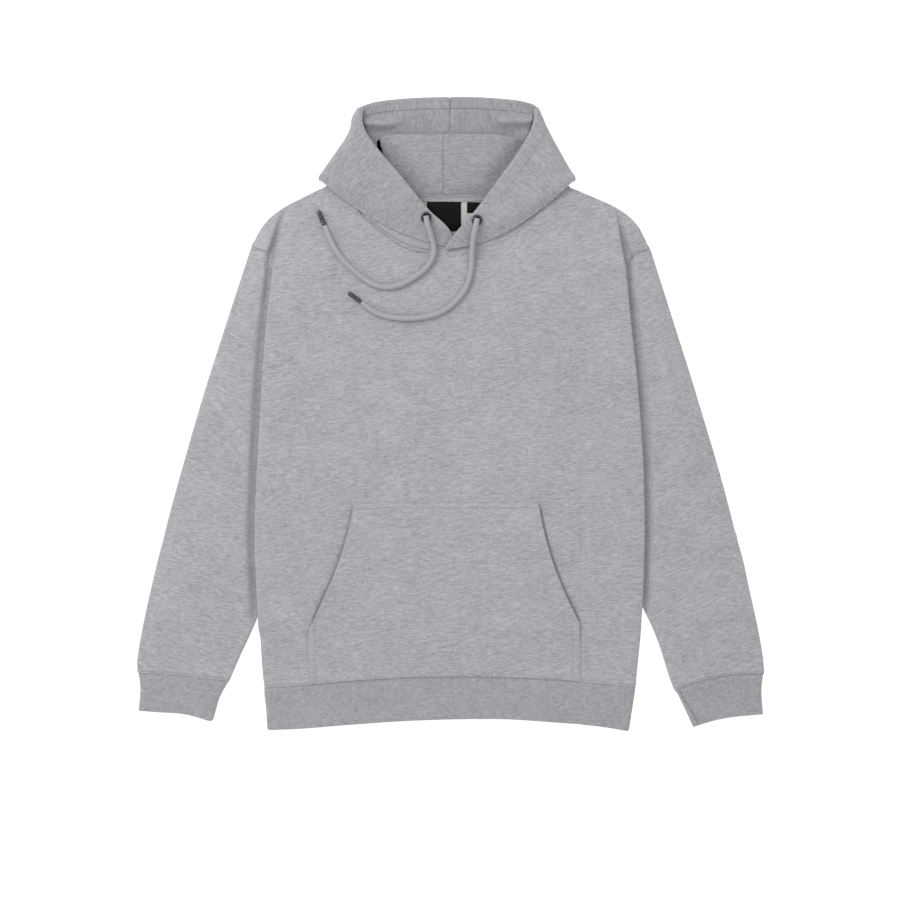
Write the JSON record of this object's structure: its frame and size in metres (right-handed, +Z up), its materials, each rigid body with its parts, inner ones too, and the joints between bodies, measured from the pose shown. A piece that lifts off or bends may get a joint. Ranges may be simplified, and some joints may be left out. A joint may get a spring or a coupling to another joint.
{
  "type": "pullover hoodie",
  "caption": "Pullover hoodie laid flat with its front up: hood spread open, drawcords, front pouch pocket, ribbed cuffs and hem, sleeves beside the body.",
  "frame": {"origin": "middle of the laid-out garment on the surface that it rests on", "axes": "+Y from the hem to the top of the hood, +X to the right as seen from above (nodes named left are at -X), +Z up from the surface"},
  "size_m": [0.7948, 0.8035, 0.0291],
  "materials": {
    "fleece": "grey marl fleece, matt",
    "rib": "grey marl rib knit, matt",
    "tape": "grey woven tape",
    "label": "black woven label, bare",
    "cord": "grey braided cord",
    "gunmetal": "dark gunmetal, smooth"
  },
  "bodies": {
    "root": {"front": "fleece", "back": "fleece", "pocket": "fleece", "sleeve_left": "fleece", "sleeve_right": "fleece", "hood_left": "fleece", "hood_right": "fleece", "hood_back_left": "fleece", "hood_back_right": "fleece", "hem_rib": "rib", "cuff_left": "rib", "cuff_right": "rib", "neck_tape": "tape", "neck_label": "label", "size_label": "label", "drawcord_left": "cord", "drawcord_right": "cord", "eyelet_left": "gunmetal", "eyelet_right": "gunmetal", "aglet_left": "gunmetal", "aglet_right": "gunmetal"}
  },
  "joints": []
}
